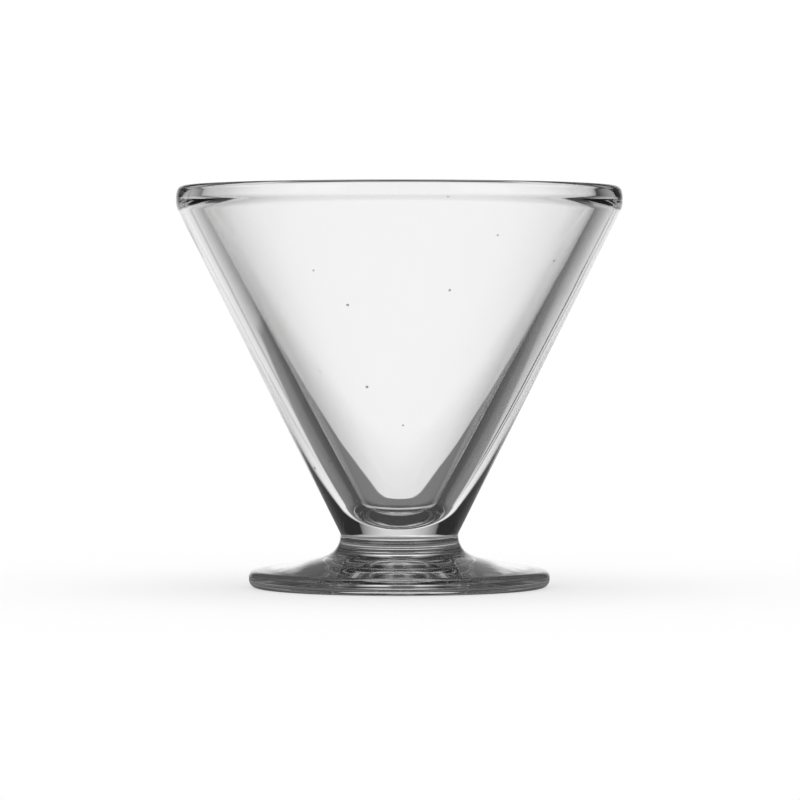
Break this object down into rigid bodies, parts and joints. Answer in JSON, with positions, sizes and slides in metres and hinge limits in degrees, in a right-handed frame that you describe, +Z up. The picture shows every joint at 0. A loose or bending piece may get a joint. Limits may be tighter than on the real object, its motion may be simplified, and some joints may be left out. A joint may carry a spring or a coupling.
{
  "type": "dessert coupe",
  "caption": "Footed dessert coupe of thick clear glass: a conical bowl with a rounded lip, a short solid stem and a round foot.",
  "frame": {"origin": "on the table, under the middle of the foot", "axes": "+Z up along the axis of the bowl; +X and +Y lie level, and every direction round the axis is alike"},
  "size_m": [0.1068, 0.1068, 0.096],
  "materials": {
    "clear_glass": "clear, fire-polished gloss"
  },
  "bodies": {
    "root": {"bowl": "clear_glass", "stem": "clear_glass", "foot": "clear_glass"}
  },
  "joints": []
}
